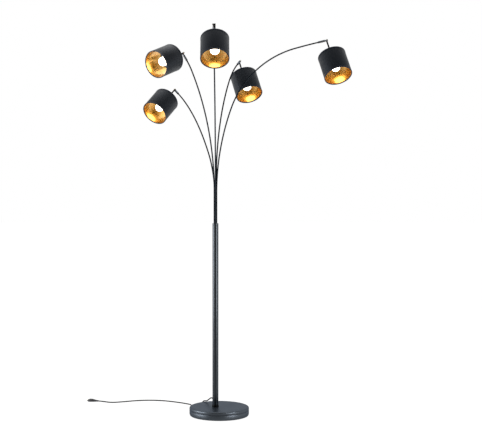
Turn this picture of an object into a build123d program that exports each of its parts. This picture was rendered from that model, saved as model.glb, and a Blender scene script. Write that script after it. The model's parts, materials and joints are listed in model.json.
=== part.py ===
from build123d import *
import math
import os

# Tree floor lamp: a round weighted base, a steel pole, five bent arms in one holder, and at the
# end of each arm a swivel knuckle that carries a cloth shade.
# Millimetres. The origin is the foot of the pole's line on the floor, X to the right, Y to the back,
# Z up. The base stands off the pole's line, towards the longest arm, which steadies the lamp.

os.makedirs("parts", exist_ok=True)

# ---- base ----
base_diameter = 300
base_height = 44
base_offset = 19
cover_wall = 1.5
shoulder_radius = 7
groove_height = 28
groove_depth = 1.6
foot_inset = 5
foot_gap = 1.5
pad_thickness = 3
pad_margin = 8
weight_thickness = 12
weight_chamfer = 6
hub_diameter = 64
nut_recess_diameter = 38
nut_recess_depth = 12
stud_diameter = 10
nut_across_flats = 17
nut_thickness = 8
washer_diameter = 28
washer_thickness = 2
thread_clearance = 0.1

# ---- pole ----
pole_diameter = 30
pole_wall = 1.2
pole_top = 964
collar_diameter = 33
collar_thickness = 10
foot_plug_length = 18
plug_clearance = 0.15
cord_hole_rise = 25
cord_hole_azimuth = 113
cord_hole_diameter = 9

# ---- arms ----
arm_diameter = 7
arm_wall = 0.8
arm_gap = 0.4
arm_count = 5
holder_plug_length = 24
holder_cap_thickness = 3
holder_clearance = 0.05
arm_below_holder = 3
grub_diameter = 4
grub_gap = 0.2
grub_drop = 12

# The five arms. "seat" is the hole in the holder, "plane" the compass angle that the arm leans to,
# "rise" how far above the pole it starts to bend, and each bend is (radius, angle), in order.
# "aim" is the way the shade points: its tilt from straight down, and the compass angle of that tilt.
arms = {
    "centre": dict(seat=-90, plane=-94.5, rise=177, bends=[(2600, 17)], aim=(34, -90)),
    "right": dict(
        seat=-18, plane=1.8, rise=155.5, bends=[(1280, 19.5), (483, 54.5), (2800, 2.5)], aim=(32.5, -68.5)
    ),
    "right_low": dict(seat=54, plane=67.9, rise=213.8, bends=[(860, 37.5), (405, 23.5)], aim=(33.4, -66)),
    "left_low": dict(seat=126, plane=115.8, rise=133.4, bends=[(387, 34), (1095, 28)], aim=(50.3, -126.4)),
    "left_up": dict(seat=198, plane=145, rise=159, bends=[(1450, 25.5), (420, 8.5)], aim=(68.5, -129.1)),
}

# ---- knuckle ----
sleeve_diameter = 11
sleeve_length = 45
sleeve_grip = 20
sleeve_clearance = 0.1
ear_thickness = 6.6
ear_gap = 0.2
screw_diameter = 4
screw_clearance = 0.08
screw_head_diameter = 10.5
screw_head_thickness = 2
nut_head_diameter = 9
nut_head_thickness = 3
lead_clearance = 0.6
lead_sides = 6
lead_bore_clearance = 0.4

# ---- stem, lampholder and shade; heights are measured from the pivot along the shade's axis ----
stem_diameter = 8
stem_thread_length = 8
shade_top = 95
shade_length = 130
shade_diameter = 140
shade_wall = 1.0
hem_height = 8
hem_thickness = 0.6
ring_wire = 2.4
ring_clearance = 0.1
spoke_wire = 2.4
spider_drop = 10
spider_outer_diameter = 42
spider_thickness = 2
holder_top_drop = 13
holder_length = 55
holder_diameter = 28
holder_neck_diameter = 15
holder_flange_diameter = 34
holder_flange_thickness = 2.5
shade_ring_diameter = 39
shade_ring_height = 8
shade_ring_clearance = 0.15
bulb_diameter = 45
bulb_tip_depth = 33.5
bulb_length = 79.5
bulb_cap_diameter = 13.8
bulb_cap_length = 22
bulb_neck_diameter = 21
bulb_clearance = 0.3
bulb_flat = 1.5

# ---- cord, switch and plug ----
cord_diameter = 6
cord_sides = 8
cord_clearance = 0.15
relief_length = 22
relief_root_diameter = 12
relief_tip_diameter = 9
grommet_flange_diameter = 14
connector_diameter = 23
connector_length = 28
connector_drop = 39
inner_bend = 9
coil_centre = (68, 215)
coil_outer_radius = 42.2
coil_pitch = 6.7
coil_layer_turns = 2
coil_layer_height = 6.6
floor_gap = 0.1
switch_centre = (-25, 174)
switch_length = 62
switch_width = 36
switch_height = 20
switch_cord_height = 6.2
switch_relief_length = 20
button_diameter = 24
button_travel = 3
button_proud = 4
button_clearance = 0.4
plug_relief_length = 22
plug_neck_width = 17
plug_length = 34
plug_width = 34
plug_height = 13.6
pin_diameter = 4
pin_length = 19
pin_spacing = 18.6


def save(part, name):
    part.label = name
    export_step(part, f"parts/{name}.step")


def compass(angle):
    """The level direction at this angle from X towards Y."""
    return Vector(math.cos(math.radians(angle)), math.sin(math.radians(angle)), 0)


# ============================== base ==============================
base_radius = base_diameter / 2
belly_height = groove_height / 2
base_section = Plane(origin=(base_offset, 0, 0), x_dir=(1, 0, 0), z_dir=(0, -1, 0))
base_axis = Axis((base_offset, 0, 0), (0, 0, 1))
with BuildPart() as base_cover:
    with BuildSketch(base_section):
        with BuildLine():
            Line((0, foot_gap), (base_radius - foot_inset, foot_gap))
            ThreePointArc(
                (base_radius - foot_inset, foot_gap),
                (base_radius - foot_inset / 3, foot_gap + (belly_height - foot_gap) * 0.45),
                (base_radius, belly_height),
            )
            Line((base_radius, belly_height), (base_radius, groove_height - groove_depth))
            Line((base_radius, groove_height - groove_depth), (base_radius - groove_depth, groove_height))
            Line((base_radius - groove_depth, groove_height), (base_radius, groove_height + groove_depth))
            Line((base_radius, groove_height + groove_depth), (base_radius, base_height - shoulder_radius))
            RadiusArc(
                (base_radius, base_height - shoulder_radius),
                (base_radius - shoulder_radius, base_height),
                -shoulder_radius,
            )
            Line((base_radius - shoulder_radius, base_height), (0, base_height))
            Line((0, base_height), (0, foot_gap))
        make_face()
        with BuildLine():
            inner = base_radius - groove_depth - cover_wall
            high = base_height - cover_wall
            Polyline(
                (0, 0),
                (base_radius - foot_inset - cover_wall, 0),
                (inner, belly_height),
                (inner, base_height - shoulder_radius),
                (base_radius - shoulder_radius, high),
                (0, high),
                close=True,
            )
        make_face(mode=Mode.SUBTRACT)
    revolve(axis=base_axis)
    with Locations((0, 0, base_height)):
        Hole(radius=stud_diameter / 2 + thread_clearance, depth=base_height)
save(base_cover.part, "base_cover")

pad_radius = base_radius - foot_inset - cover_wall - pad_margin
with BuildPart() as base_pad:
    with BuildSketch():
        with Locations((base_offset, 0)):
            Circle(pad_radius)
    extrude(amount=pad_thickness)
save(base_pad.part, "base_pad")

# The weight's plate is centred in the cover and its hub on the pole's line.
hub_top = base_height - cover_wall
plate_top = pad_thickness + weight_thickness
with BuildPart() as base_weight:
    with BuildSketch(base_section):
        with BuildLine():
            Polyline(
                (0, pad_thickness),
                (pad_radius, pad_thickness),
                (pad_radius, plate_top - weight_chamfer),
                (pad_radius - weight_chamfer, plate_top),
                (0, plate_top),
                close=True,
            )
        make_face()
    revolve(axis=base_axis)
    with BuildSketch(Plane.XZ):
        with BuildLine():
            Polyline(
                (0, pad_thickness),
                (hub_diameter / 2 + 10, pad_thickness),
                (hub_diameter / 2 + 10, plate_top),
                (hub_diameter / 2, plate_top + 10),
                (hub_diameter / 2, hub_top),
                (0, hub_top),
                close=True,
            )
        make_face()
    revolve(axis=Axis.Z)
    with Locations((0, 0, hub_top)):
        Hole(radius=stud_diameter / 2 + thread_clearance, depth=base_height)
    with BuildSketch(Plane.XY.offset(pad_thickness)):
        Circle(nut_recess_diameter / 2)
    extrude(amount=nut_recess_depth, mode=Mode.SUBTRACT)
save(base_weight.part, "base_weight")

recess_roof = pad_thickness + nut_recess_depth
washer_bottom = recess_roof - washer_thickness
nut_bottom = washer_bottom - nut_thickness
with BuildPart() as base_nut:
    with BuildSketch(Plane.XY.offset(nut_bottom)):
        RegularPolygon(nut_across_flats / 2, 6, major_radius=False)
        Circle(stud_diameter / 2 + thread_clearance, mode=Mode.SUBTRACT)
    extrude(amount=nut_thickness)
    with BuildSketch(Plane.XY.offset(washer_bottom)):
        Circle(washer_diameter / 2)
        Circle(stud_diameter / 2 + thread_clearance, mode=Mode.SUBTRACT)
    extrude(amount=washer_thickness)
save(base_nut.part, "base_nut")

stud_bottom = nut_bottom - 1
stud_top = base_height + collar_thickness + foot_plug_length - 4
with BuildPart() as base_stud:
    with BuildSketch(Plane.XY.offset(stud_bottom)):
        Circle(stud_diameter / 2)
    extrude(amount=stud_top - stud_bottom)
    chamfer(base_stud.edges(), length=0.8)
save(base_stud.part, "base_stud")

# ============================== pole ==============================
pole_bottom = base_height + collar_thickness
pole_bore = pole_diameter / 2 - pole_wall
with BuildPart() as pole_foot:
    with BuildSketch(Plane.XY.offset(base_height)):
        Circle(collar_diameter / 2)
    extrude(amount=collar_thickness)
    chamfer(pole_foot.edges().group_by(Axis.Z)[-1], length=0.6)
    with BuildSketch(Plane.XY.offset(pole_bottom)):
        Circle(pole_bore - plug_clearance)
    extrude(amount=foot_plug_length)
    with Locations((0, 0, pole_bottom + foot_plug_length)):
        Hole(radius=stud_diameter / 2 + thread_clearance, depth=foot_plug_length + collar_thickness)
save(pole_foot.part, "pole_foot")

cord_hole_height = pole_bottom + cord_hole_rise
hole_out = compass(cord_hole_azimuth)
hole_plane = Plane(origin=(0, 0, cord_hole_height), x_dir=(0, 0, 1), z_dir=hole_out)
holder_bottom = pole_top - holder_plug_length
grub_height = pole_top - grub_drop
grub_seats = [
    Plane(origin=(0, 0, grub_height), x_dir=(0, 0, 1), z_dir=compass(angle)) for angle in (18, 138, 258)
]
with BuildPart() as pole:
    with BuildSketch(Plane.XY.offset(pole_bottom)):
        Circle(pole_diameter / 2)
        Circle(pole_bore, mode=Mode.SUBTRACT)
    extrude(amount=pole_top - pole_bottom)
    with BuildSketch(hole_plane):
        Circle(cord_hole_diameter / 2)
    extrude(amount=pole_diameter, mode=Mode.SUBTRACT)
    for seat in grub_seats:
        with BuildSketch(seat):
            Circle(grub_diameter / 2 + thread_clearance)
        extrude(amount=pole_diameter, mode=Mode.SUBTRACT)
save(pole.part, "pole")

# ============================== arm holder ==============================
# Neighbouring arms stand a small gap apart on a five-sided ring.
seat_radius = (arm_diameter + arm_gap) / 2 / math.sin(math.pi / arm_count)
grub_length = (pole_diameter - arm_diameter) / 2 - seat_radius - grub_gap
with BuildPart() as arm_holder:
    with BuildSketch(Plane.XY.offset(holder_bottom)):
        Circle(pole_bore - plug_clearance)
    extrude(amount=holder_plug_length)
    with BuildSketch(Plane.XY.offset(pole_top)):
        Circle(pole_diameter / 2)
    extrude(amount=holder_cap_thickness)
    chamfer(arm_holder.edges().group_by(Axis.Z)[-1], length=holder_cap_thickness / 3)
    with BuildSketch(Plane.XY.offset(pole_top + holder_cap_thickness)):
        for arm in arms.values():
            with PolarLocations(seat_radius, 1, start_angle=arm["seat"]):
                Circle(arm_diameter / 2 + holder_clearance)
    extrude(amount=-holder_plug_length - holder_cap_thickness, mode=Mode.SUBTRACT)
    for seat in grub_seats:
        with BuildSketch(seat.offset(pole_bore - grub_length + pole_wall)):
            Circle(grub_diameter / 2 + thread_clearance)
        extrude(amount=grub_length, mode=Mode.SUBTRACT)
save(arm_holder.part, "arm_holder")

with BuildPart() as grub_screws:
    for seat in grub_seats:
        with BuildSketch(seat.offset(pole_bore + pole_wall - grub_length)):
            Circle(grub_diameter / 2)
        extrude(amount=grub_length - 0.2)
save(grub_screws.part, "grub_screws")


# ============================== arms ==============================
def arm_plane(arm):
    """The upright plane that an arm is bent in: x leads outwards, y up, and 0,0 is its seat at floor level."""
    outwards = compass(arm["plane"])
    return Plane(origin=compass(arm["seat"]) * seat_radius, x_dir=outwards, z_dir=outwards.cross(Vector(0, 0, 1)))


def arm_path(arm, bottom, end_length):
    """The arm's centre line from this height, up through its bends, to a straight end."""
    with BuildLine(arm_plane(arm)) as path:
        run = Line((0, bottom), (0, pole_top + arm["rise"]))
        for radius, turn in arm["bends"]:
            run = JernArc(run @ 1, run % 1, radius, -turn)
        Line(run @ 1, run @ 1 + (run % 1) * end_length)
    return path.wires()[0]


def tube(path, outer, inner=0, sides=0):
    """A tube or rod of these radii along a path, round or with this many sides."""
    with BuildPart() as piece:
        with BuildSketch(Plane(origin=path @ 0, z_dir=path % 0)):
            if sides:
                RegularPolygon(outer, sides)
            else:
                Circle(outer)
            if inner:
                Circle(inner, mode=Mode.SUBTRACT)
        sweep(path=path)
    return piece.part


def measured(name, part, path, section):
    """Prints how near a swept part's volume is to its section times its length."""
    print(name, "length", round(path.length, 1), "volume share", round(part.volume / section / path.length, 4))


def polygon_area(radius, sides):
    return sides * radius**2 * math.sin(2 * math.pi / sides) / 2


arm_radius = arm_diameter / 2
arm_section = math.pi * (arm_radius**2 - (arm_radius - arm_wall) ** 2)
lead_diameter = arm_diameter - 2 * arm_wall - 2 * lead_clearance
lead_bore = lead_diameter + 2 * lead_bore_clearance
connector_top = pole_top - connector_drop
lead_section = polygon_area(lead_diameter / 2, lead_sides)
leads = []
for name, arm in arms.items():
    path = arm_path(arm, holder_bottom - arm_below_holder, sleeve_grip)
    piece = tube(path, arm_radius, arm_radius - arm_wall)
    measured(f"arm_{name}", piece, path, arm_section)
    save(piece, f"arm_{name}")
    arm["tip"] = path @ 1
    arm["along"] = path % 1
    lead_path = arm_path(arm, connector_top, sleeve_grip - 1)
    leads.append(tube(lead_path, lead_diameter / 2, sides=lead_sides))
    measured(f"lead_{name}", leads[-1], lead_path, lead_section)
save(Compound(children=leads), "arm_leads")


# ============================== knuckles and heads ==============================
ear_pitch = ear_thickness + ear_gap
ear_radius = sleeve_diameter / 2


def head_planes(arm):
    """Finds the swivel's line, the pivot and the shade's plane of one head.

    The two ears of the knuckle lie side by side on the pivot's axis, so the shade's axis passes
    beside the arm's. In the shade's plane x is the pivot's axis and y leads down the shade.
    """
    tilt, azimuth = arm["aim"]
    down = compass(azimuth) * math.sin(math.radians(tilt)) - Vector(0, 0, math.cos(math.radians(tilt)))
    hinge = arm["along"].cross(down).normalized()
    arm_pivot = arm["tip"] + arm["along"] * (sleeve_length - sleeve_grip)
    arm["down"] = down
    arm["hinge"] = hinge
    arm["pivot"] = arm_pivot + hinge * (ear_pitch / 2)
    arm["sleeve_plane"] = Plane(origin=arm_pivot, x_dir=hinge, z_dir=hinge.cross(arm["along"]))
    arm["shade_plane"] = Plane(origin=arm_pivot + hinge * ear_pitch, x_dir=hinge, z_dir=hinge.cross(down))


def eye(plane, rod_radius, reach):
    """Rounds and flattens the end of a rod into an ear, with the screw's hole, at this plane's origin."""
    across = Plane(origin=plane.origin, x_dir=plane.y_dir, z_dir=plane.x_dir)
    with BuildPart() as ear:
        with BuildSketch(across.offset(-ear_thickness / 2)):
            Circle(ear_radius)
            with Locations((reach / 2, 0)):
                Rectangle(abs(reach), 2 * min(rod_radius, ear_radius))
            Circle(screw_diameter / 2 + screw_clearance, mode=Mode.SUBTRACT)
        extrude(amount=ear_thickness)
    return ear.part


def sleeve(arm):
    """The turned swivel end: a bore for the arm, a finer one for the lead, and the flat ear."""
    plane = arm["sleeve_plane"]
    shoulder = -ear_radius - 3
    bore_end = sleeve_grip - sleeve_length + 0.3
    with BuildPart() as piece:
        with BuildSketch(plane):
            with BuildLine():
                Polyline(
                    (arm_radius + sleeve_clearance, -sleeve_length),
                    (sleeve_diameter / 2 - 0.8, -sleeve_length),
                    (sleeve_diameter / 2, -sleeve_length + 0.8),
                    (sleeve_diameter / 2, shoulder - 1),
                    (ear_thickness / 2, shoulder),
                    (0, shoulder),
                    (0, shoulder - 3),
                    (lead_bore / 2, shoulder - 3),
                    (lead_bore / 2, bore_end),
                    (arm_radius + sleeve_clearance, bore_end),
                    close=True,
                )
            make_face()
        revolve(axis=Axis(plane.origin, plane.y_dir))
        add(eye(plane, ear_thickness / 2, shoulder))
    return piece.part


def stem(arm):
    """The black rod from the pivot to the lampholder, bored for the lead."""
    plane = arm["shade_plane"]
    end = shade_top - holder_top_drop + stem_thread_length
    start = ear_radius + 3
    with BuildPart() as piece:
        with BuildSketch(plane):
            with BuildLine():
                Polyline(
                    (0, start - 1),
                    (ear_thickness / 2 - 0.4, start - 1),
                    (stem_diameter / 2, start + 1),
                    (stem_diameter / 2, end),
                    (lead_bore / 2, end),
                    (lead_bore / 2, start + 3),
                    (0, start + 3),
                    close=True,
                )
            make_face()
        revolve(axis=Axis(plane.origin, plane.y_dir))
        add(eye(plane, stem_diameter / 2 - 0.4, start))
    return piece.part


def pivot_screw(arm):
    """The bright screw through both ears, with its round head and dome nut."""
    centre = Plane(origin=arm["pivot"], x_dir=arm["down"], z_dir=arm["hinge"])
    half = ear_pitch / 2 + ear_thickness / 2
    with BuildPart() as piece:
        with BuildSketch(centre.offset(-half)):
            Circle(screw_diameter / 2)
        extrude(amount=2 * half)
        with BuildSketch(centre.offset(half)):
            Circle(screw_head_diameter / 2)
        extrude(amount=screw_head_thickness, taper=20)
        with BuildSketch(centre.offset(-half)):
            RegularPolygon(nut_head_diameter / 2, 6)
        extrude(amount=-nut_head_thickness)
    return piece.part


# Heights along the shade's axis, from the pivot.
shade_bottom = shade_top + shade_length
holder_top = shade_top - holder_top_drop
holder_mouth = holder_top + holder_length
spider_height = shade_top + spider_drop
flange_top = spider_height - holder_flange_thickness
bulb_tip = shade_bottom - bulb_tip_depth
bulb_contact = bulb_tip - bulb_length
bulb_centre = bulb_tip - bulb_diameter / 2
cap_end = bulb_contact + bulb_cap_length


def turned(plane, *points):
    """A solid of revolution about the plane's y axis, from the corners of its half section."""
    with BuildPart() as piece:
        with BuildSketch(plane):
            with BuildLine():
                Polyline(*points, close=True)
            make_face()
        revolve(axis=Axis(plane.origin, plane.y_dir))
    return piece.part


def lampholder(arm):
    """The E14 holder and, as a second solid, the ring that clamps the shade's spider to its flange."""
    plane = arm["shade_plane"]
    outer = holder_diameter / 2
    socket = bulb_cap_diameter / 2 + bulb_clearance
    mouth = bulb_neck_diameter / 2 + 1.2
    body = turned(
        plane,
        (stem_diameter / 2 + thread_clearance, holder_top),
        (holder_neck_diameter / 2, holder_top),
        (holder_neck_diameter / 2, holder_top + 5),
        (outer - 1, holder_top + 9),
        (outer - 1, flange_top),
        (holder_flange_diameter / 2, flange_top),
        (holder_flange_diameter / 2, spider_height),
        (outer, spider_height),
        (outer, holder_mouth),
        (mouth, holder_mouth),
        (mouth, cap_end - bulb_clearance),
        (socket, cap_end - bulb_clearance),
        (socket, bulb_contact - bulb_clearance),
        (stem_diameter / 2 + thread_clearance, bulb_contact - bulb_clearance),
    )
    ring_start = spider_height + spider_thickness
    ring = turned(
        plane,
        (outer + shade_ring_clearance, ring_start),
        (shade_ring_diameter / 2, ring_start),
        (shade_ring_diameter / 2, ring_start + shade_ring_height * 0.4),
        (outer + 2, ring_start + shade_ring_height),
        (outer + shade_ring_clearance, ring_start + shade_ring_height),
    )
    return Compound(children=[body, ring])


def shade_frame(arm):
    """The wire frame: a ring at each end of the shade and a three-armed spider on the lampholder."""
    plane = arm["shade_plane"]
    outer = shade_diameter / 2 - shade_wall - ring_clearance
    upper = shade_top + ring_clearance
    lower = shade_bottom - ring_clearance - ring_wire
    hub = holder_diameter / 2 + shade_ring_clearance
    rings = [
        turned(
            plane,
            (outer - ring_wire, start),
            (outer, start),
            (outer, start + ring_wire),
            (outer - ring_wire, start + ring_wire),
        )
        for start in (upper, lower)
    ]
    with BuildPart() as spider:
        add(
            turned(
                plane,
                (hub, spider_height),
                (spider_outer_diameter / 2, spider_height),
                (spider_outer_diameter / 2, spider_height + spider_thickness),
                (hub, spider_height + spider_thickness),
            )
        )
        add(rings[0])
        for angle in (90, 210, 330):
            across = Vector(math.cos(math.radians(angle)), 0, math.sin(math.radians(angle)))
            start = plane.from_local_coords(
                across * (spider_outer_diameter / 2 - 1.5) + Vector(0, spider_height + spider_thickness / 2, 0)
            )
            end = plane.from_local_coords(
                across * (outer - ring_wire / 2) + Vector(0, upper + ring_wire / 2, 0)
            )
            with BuildSketch(Plane(origin=start, z_dir=end - start)):
                Circle(spoke_wire / 2)
            extrude(amount=(end - start).length)
    return Compound(children=[spider.part, rings[1]])


def shade(arm):
    """The cloth cylinder with a folded hem at each end."""
    wall = shade_diameter / 2
    hem = wall + hem_thickness
    return turned(
        arm["shade_plane"],
        (wall - shade_wall, shade_top),
        (hem, shade_top),
        (hem, shade_top + hem_height),
        (wall, shade_top + hem_height),
        (wall, shade_bottom - hem_height),
        (hem, shade_bottom - hem_height),
        (hem, shade_bottom),
        (wall - shade_wall, shade_bottom),
    )


def bulb(arm):
    """The globe bulb: a screw cap, a short neck and the round globe."""
    plane = arm["shade_plane"]
    globe = bulb_diameter / 2
    neck = bulb_neck_diameter / 2
    cap = bulb_cap_diameter / 2
    meeting = bulb_centre - math.sqrt(globe**2 - neck**2)
    crown = (bulb_flat, bulb_centre + math.sqrt(globe**2 - bulb_flat**2))
    with BuildPart() as piece:
        with BuildSketch(plane):
            with BuildLine():
                Polyline(
                    (0, crown[1]),
                    (0, bulb_contact),
                    (cap / 2, bulb_contact),
                    (cap, bulb_contact + 3),
                    (cap, cap_end),
                    (neck, cap_end + 2),
                    (neck, meeting),
                )
                ThreePointArc((neck, meeting), (globe, bulb_centre), crown)
                Line(crown, (0, crown[1]))
            make_face()
        revolve(axis=Axis(plane.origin, plane.y_dir))
    return piece.part


head_pieces = {
    "sleeve": sleeve,
    "pivot_screw": pivot_screw,
    "stem": stem,
    "lampholder": lampholder,
    "shade_frame": shade_frame,
    "shade": shade,
    "bulb": bulb,
}
for name, arm in arms.items():
    head_planes(arm)
    for piece_name, make in head_pieces.items():
        save(make(arm), f"{piece_name}_{name}")
    print(name, "pivot", arm["pivot"], "arm end", arm["along"], "hinge", arm["hinge"], "aim", arm["down"])


# ============================== leads in the pole ==============================
relief_tip = hole_plane.from_local_coords(Vector(0, 0, pole_diameter / 2 + relief_length))
with BuildPart() as cable_grommet:
    with BuildSketch(hole_plane.offset(pole_bore - 2)):
        Circle(cord_hole_diameter / 2 - 0.1)
    extrude(amount=pole_wall + 4)
    with BuildSketch(hole_plane.offset(pole_diameter / 2 + 0.1)):
        Circle(grommet_flange_diameter / 2)
    extrude(amount=2.5)
    with BuildSketch(hole_plane.offset(pole_diameter / 2 + 2)):
        Circle(relief_root_diameter / 2)
    with BuildSketch(hole_plane.offset(pole_diameter / 2 + relief_length)):
        Circle(relief_tip_diameter / 2)
    loft()
    with BuildSketch(hole_plane.offset(pole_bore - 4)):
        Circle(cord_diameter / 2 + cord_clearance)
    extrude(amount=relief_length + 10, mode=Mode.SUBTRACT)
    # the flange is hollowed to sit on the round pole
    with BuildSketch(Plane.XY):
        Circle(pole_diameter / 2 + 0.1)
        Circle(pole_bore - 0.5, mode=Mode.SUBTRACT)
        with Locations(hole_out * (pole_diameter / 2)):
            Rectangle(cord_hole_diameter - 0.4, cord_hole_diameter - 0.4, mode=Mode.SUBTRACT)
    extrude(amount=cord_hole_height * 2, mode=Mode.SUBTRACT)
save(cable_grommet.part, "cable_grommet")

connector_bottom = connector_top - connector_length
with BuildPart() as lead_connector:
    with BuildSketch(Plane.XY.offset(connector_bottom)):
        Circle(connector_diameter / 2)
    extrude(amount=connector_length)
    chamfer(lead_connector.edges(), length=1.5)
save(lead_connector.part, "lead_connector")

with BuildLine() as pole_lead_path:
    FilletPolyline(
        relief_tip,
        (0, 0, cord_hole_height),
        (0, 0, connector_bottom),
        radius=inner_bend,
    )
pole_lead = tube(pole_lead_path.wires()[0], cord_diameter / 2)
save(pole_lead, "pole_lead")


# ============================== cord ==============================
lying = cord_diameter / 2 + floor_gap
upper_turn = lying + coil_layer_height
coil_x, coil_y = coil_centre
coil_start = (coil_x - cord_diameter, coil_y + coil_outer_radius, upper_turn)
coil_end = (coil_x - cord_diameter, coil_y - coil_outer_radius, lying)
switch_x, switch_y = switch_centre
switch_reach = switch_length / 2 + switch_relief_length
switch_in = (switch_x + switch_reach, switch_y, switch_cord_height)
switch_out = (switch_x - switch_reach, switch_y, switch_cord_height)

# Each stretch is a list of points. The first drops from the pole, passes over the back edge of the
# base, turns round the foot switch and climbs on to the coil.
near_points = [
    relief_tip,
    relief_tip + hole_out * 14,
    (-25.5, 60, 74.5),
    (-32, 75.5, 66),
    (-39, 92, 57.5),
    (-46.5, 110, 50.7),
    (-54, 129, 47.7),
    (-60.5, 145.5, 43.5),
    (-66.5, 161, 35),
    (-73, 176, 23.5),
    (-80.5, 190.5, 12),
    (-88, 206, 5),
    (-91, 223, lying),
    (-87.5, 239.5, lying),
    (-78, 253.5, lying),
    (-64, 263, lying),
    (-47, 266.5, lying),
    (-28, 266, lying),
    (-9, 262.5, lying),
    (11, 259, lying + 0.2),
    (31, 257.5, 7),
    (coil_start[0] - 13, coil_start[1], upper_turn),
    coil_start,
]
link_points = [
    coil_end,
    (coil_end[0] - 12, coil_end[1], lying),
    (switch_in[0] + 12, switch_y, switch_cord_height),
    switch_in,
]
far_points = [
    switch_out,
    (switch_out[0] - 14, switch_y, switch_cord_height),
    (-104, 177, 3.9),
    (-116, 184.5, lying),
    (-123.5, 196, lying),
    (-126, 210, lying),
    (-126, 228, lying),
    (-129, 247, lying),
    (-144, 268, lying),
    (-190, 305, lying),
    (-236, 335, lying),
    (-290, 361, lying),
    (-354, 372, lying),
    (-425, 361, lying),
    (-490, 330, lying),
    (-540, 310, lying),
    (-568, 309.5, lying + 0.5),
    (-600, 317, plug_height / 2 + floor_gap),
    (-630, 331, plug_height / 2 + floor_gap),
]


def corner_radii(points):
    """One radius for each corner, as large as its two runs allow."""
    points = [Vector(*point) if isinstance(point, tuple) else point for point in points]
    radii = []
    for before, corner, after in zip(points, points[1:], points[2:]):
        arriving = corner - before
        leaving = after - corner
        turn = math.radians(arriving.get_angle(leaving))
        radii.append(0.45 * min(arriving.length, leaving.length) / math.tan(turn / 2))
    return radii


def cord_stretch(name, points):
    """A free stretch of the cord: straight runs joined by tangent arcs."""
    radii = corner_radii(points)
    with BuildLine() as route:
        FilletPolyline(*points, radius=radii)
    path = route.wires()[0]
    piece = tube(path, cord_diameter / 2, sides=cord_sides)
    measured(name, piece, path, polygon_area(cord_diameter / 2, cord_sides))
    print(name, "radii", [round(radius) for radius in radii])
    save(piece, name)
    return path


near_path = cord_stretch("cord_near", near_points)
link_path = cord_stretch("cord_link", link_points)
far_path = cord_stretch("cord_far", far_points)

# The coil is wound in half turns: it spirals in on top, drops a layer in the half turn where it
# turns back, and spirals out underneath. Each half turn starts where the last one ended.
coil_step = coil_pitch / 2
layer_steps = 2 * coil_layer_turns
with BuildLine() as coil_line:
    Line(coil_start, (coil_x, coil_start[1], upper_turn))
    at = Vector(coil_x, coil_start[1], upper_turn)
    for half_turn in range(2 * layer_steps + 1):
        steps_in = min(half_turn, 2 * layer_steps - half_turn)
        radius = coil_outer_radius - coil_step * steps_in
        side = 1 if half_turn % 2 == 0 else -1
        level = upper_turn if half_turn < layer_steps else lying
        end = Vector(coil_x, at.Y - side * 2 * radius, level)
        middle = (at + end) / 2 + Vector(side * (at - end).length / 2, 0, 0)
        ThreePointArc(at, middle, end)
        at = end
    Line(at, coil_end)
coil_path = coil_line.wires()[0]
cord_coil = tube(coil_path, cord_diameter / 2, sides=cord_sides)
measured("cord_coil", cord_coil, coil_path, polygon_area(cord_diameter / 2, cord_sides))
save(cord_coil, "cord_coil")

samples = 600
coil_points = [coil_path @ (index / samples) for index in range(samples + 1)]
step_length = coil_path.length / samples
apart = int(4 * cord_diameter / step_length)
least = min(
    (coil_points[first] - coil_points[second]).length
    for first in range(samples + 1)
    for second in range(first + apart, samples + 1)
)
print("coil's least gap to itself", round(least - cord_diameter, 2))
print("cord length", round(near_path.length + coil_path.length + link_path.length + far_path.length, 0))

# ============================== foot switch ==============================
button_seat = switch_height - button_travel - 4
with BuildPart() as switch_housing:
    with BuildSketch():
        with Locations(switch_centre):
            RectangleRounded(switch_length, switch_width, radius=8)
    extrude(amount=switch_height)
    fillet(switch_housing.edges().group_by(Axis.Z)[-1], radius=5)
    for way in (1, -1):
        root = (switch_x + way * (switch_length / 2 - 1), switch_y, switch_cord_height)
        foot = Plane(origin=root, z_dir=(way, 0, 0))
        with BuildSketch(foot):
            Circle(switch_cord_height - floor_gap)
        with BuildSketch(foot.offset(switch_relief_length + 1)):
            Circle(cord_diameter / 2 + 1)
        loft()
    with BuildSketch(Plane.XY.offset(switch_height)):
        with Locations(switch_centre):
            Circle(button_diameter / 2 + button_clearance)
    extrude(amount=button_seat - switch_height, mode=Mode.SUBTRACT)
save(switch_housing.part, "switch_housing")

with BuildPart() as switch_button:
    with BuildSketch(Plane.XY.offset(button_seat + button_travel + 0.2)):
        with Locations(switch_centre):
            Circle(button_diameter / 2)
    extrude(amount=switch_height + button_proud - button_seat - button_travel - 0.2)
    fillet(switch_button.edges().group_by(Axis.Z)[-1], radius=2)
save(switch_button.part, "switch_button")

# ============================== plug ==============================
plug_way = (far_path % 1).normalized()
plug_plane = Plane(origin=far_path @ 1, x_dir=plug_way.cross(Vector(0, 0, 1)), z_dir=plug_way)
plug_shoulder = plug_plane.offset(plug_relief_length + plug_length * 0.55)
plug_face = plug_plane.offset(plug_relief_length + plug_length)
with BuildPart() as plug:
    with BuildSketch(plug_plane):
        Circle(cord_diameter / 2 + 0.8)
    with BuildSketch(plug_plane.offset(plug_relief_length)):
        Circle(plug_height / 2 - 0.6)
    loft()
    with BuildSketch(plug_plane.offset(plug_relief_length)):
        RectangleRounded(plug_neck_width, plug_height - 1, radius=plug_height / 2 - 1)
    with BuildSketch(plug_shoulder):
        RectangleRounded(plug_width, plug_height, radius=plug_height / 2 - 1)
    loft()
    with BuildSketch(plug_shoulder):
        RectangleRounded(plug_width, plug_height, radius=plug_height / 2 - 1)
    extrude(amount=plug_length * 0.45)
    with BuildSketch(plug_face):
        with GridLocations(pin_spacing, 0, 2, 1):
            Circle(pin_diameter / 2)
    extrude(amount=pin_length)
save(plug.part, "plug")
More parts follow.
